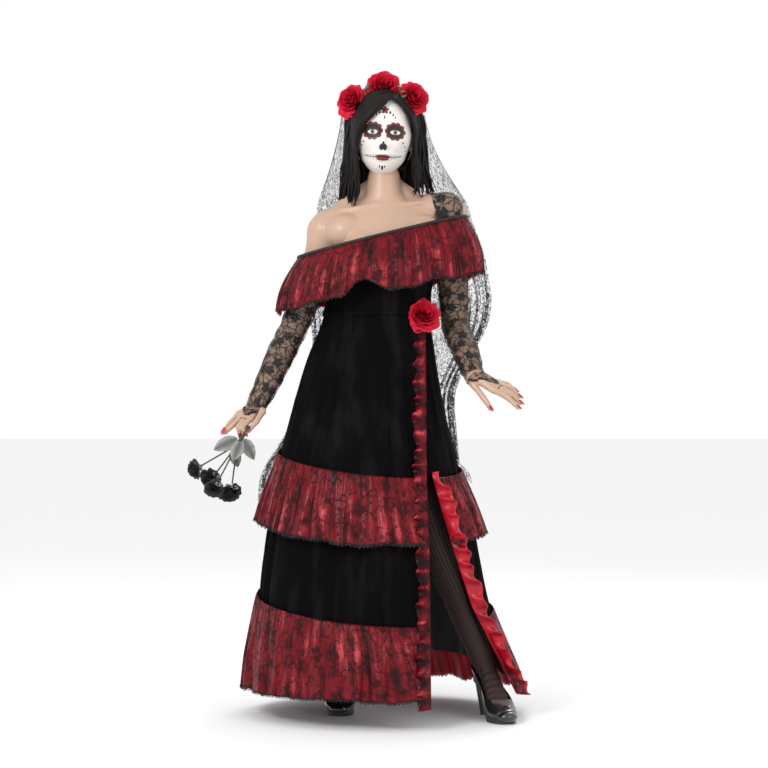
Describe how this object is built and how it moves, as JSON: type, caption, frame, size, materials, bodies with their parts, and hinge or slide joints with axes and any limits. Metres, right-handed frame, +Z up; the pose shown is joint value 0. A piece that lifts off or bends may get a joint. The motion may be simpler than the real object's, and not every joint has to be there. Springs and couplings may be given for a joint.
{
  "type": "papier-mache catrina figure",
  "caption": "Life-size papier-mache catrina display figure in a lace-trimmed dress with a rose crown, veil and bouquet; head, hands and bouquet move.",
  "frame": {"origin": "floor level, under the middle of the figure's bounding box", "axes": "+Z up; the figure faces -Y; its own left hand is on +X"},
  "size_m": [0.9066, 0.6931, 1.722],
  "materials": {
    "painted_paper": "painted skin colour, satin varnish",
    "white_paper": "painted white with a calavera face",
    "wood": "bare softwood and plywood",
    "steel": "plain rod",
    "black_velvet": "short pile velvet",
    "red_satin_lace": "crimson satin under black floral lace",
    "black_elastic": "gathered elastic piping",
    "black_lining": "matt lining",
    "black_lace": "floral lace",
    "veil_lace": "sheer net lace",
    "black_shoe": "satin",
    "shoe_sole": "matt",
    "black_hair": "long straight fibre",
    "band": "covered band",
    "red_rose": "crimson velvet petals",
    "black_rose": "black cloth petals",
    "stem": "wrapped wire",
    "grey_leaf": "greyed cloth leaves"
  },
  "bodies": {
    "figure": {"torso_shell": "painted_paper", "right_arm_shell": "painted_paper", "left_arm_shell": "painted_paper", "right_leg_shell": "painted_paper", "left_leg_shell": "painted_paper", "spine_post": "wood", "shoulder_bar": "wood", "hip_board": "wood", "neck_board": "wood", "right_wrist_peg": "wood", "left_wrist_peg": "wood", "right_leg_rod": "steel", "left_leg_rod": "steel", "right_arm_rod": "steel", "left_arm_rod": "steel", "rod_nuts": "steel", "bodice": "black_velvet", "upper_skirt_front": "black_velvet", "upper_skirt_back": "black_velvet", "lower_skirt_front": "black_velvet", "lower_skirt_back": "black_velvet", "bardot_flounce": "red_satin_lace", "mid_flounce_front": "red_satin_lace", "mid_flounce_back": "red_satin_lace", "hem_flounce_front": "red_satin_lace", "hem_flounce_back": "red_satin_lace", "slit_frill_right": "red_satin_lace", "slit_frill_left": "red_satin_lace", "bardot_elastic": "black_elastic", "skirt_lining": "black_lining", "right_sleeve": "black_lace", "left_sleeve": "black_lace", "right_shoe_upper": "black_shoe", "left_shoe_upper": "black_shoe", "right_shoe_sole": "shoe_sole", "left_shoe_sole": "shoe_sole", "right_shoe_heel": "shoe_sole", "left_shoe_heel": "shoe_sole", "waist_rose": "red_rose"},
    "head": {"head_shell": "white_paper", "head_block": "wood", "wig_cap": "black_hair", "hair_right_fall": "black_hair", "hair_left_fall": "black_hair", "hair_back_fall": "black_hair", "headband": "band", "crown_rose_right": "red_rose", "crown_rose_centre": "red_rose", "crown_rose_left": "red_rose", "crown_picks": "band", "veil": "veil_lace"},
    "right_hand": {"right_hand": "painted_paper", "right_cuff_loop": "black_lace"},
    "left_hand": {"left_hand": "painted_paper", "left_cuff_loop": "black_lace"},
    "bouquet": {"bouquet_stems": "stem", "bouquet_roses": "black_rose", "bouquet_leaves": "grey_leaf"}
  },
  "joints": [
    {"name": "head_turn", "type": "hinge", "parent": "figure", "child": "head", "pos_m": [0.07269, 0.00661, 1.5], "axis": [0, 0, 1], "range_deg": [-15, 15], "deforming": ["hair_right_fall", "hair_left_fall", "hair_back_fall", "veil"]},
    {"name": "right_wrist_turn", "type": "hinge", "parent": "figure", "child": "right_hand", "pos_m": [-0.26531, -0.04539, 0.824], "axis": [-0.3977, -0.2652, -0.8783], "range_deg": [-25, 25]},
    {"name": "left_wrist_turn", "type": "hinge", "parent": "figure", "child": "left_hand", "pos_m": [0.30769, -0.15539, 0.904], "axis": [0.2102, -0.7312, -0.649], "range_deg": [-35, 35]},
    {"name": "bouquet_draw", "type": "slide", "parent": "right_hand", "child": "bouquet", "axis": [-0.543, -0.0157, -0.8396], "range_m": [0, 0.06]}
  ]
}
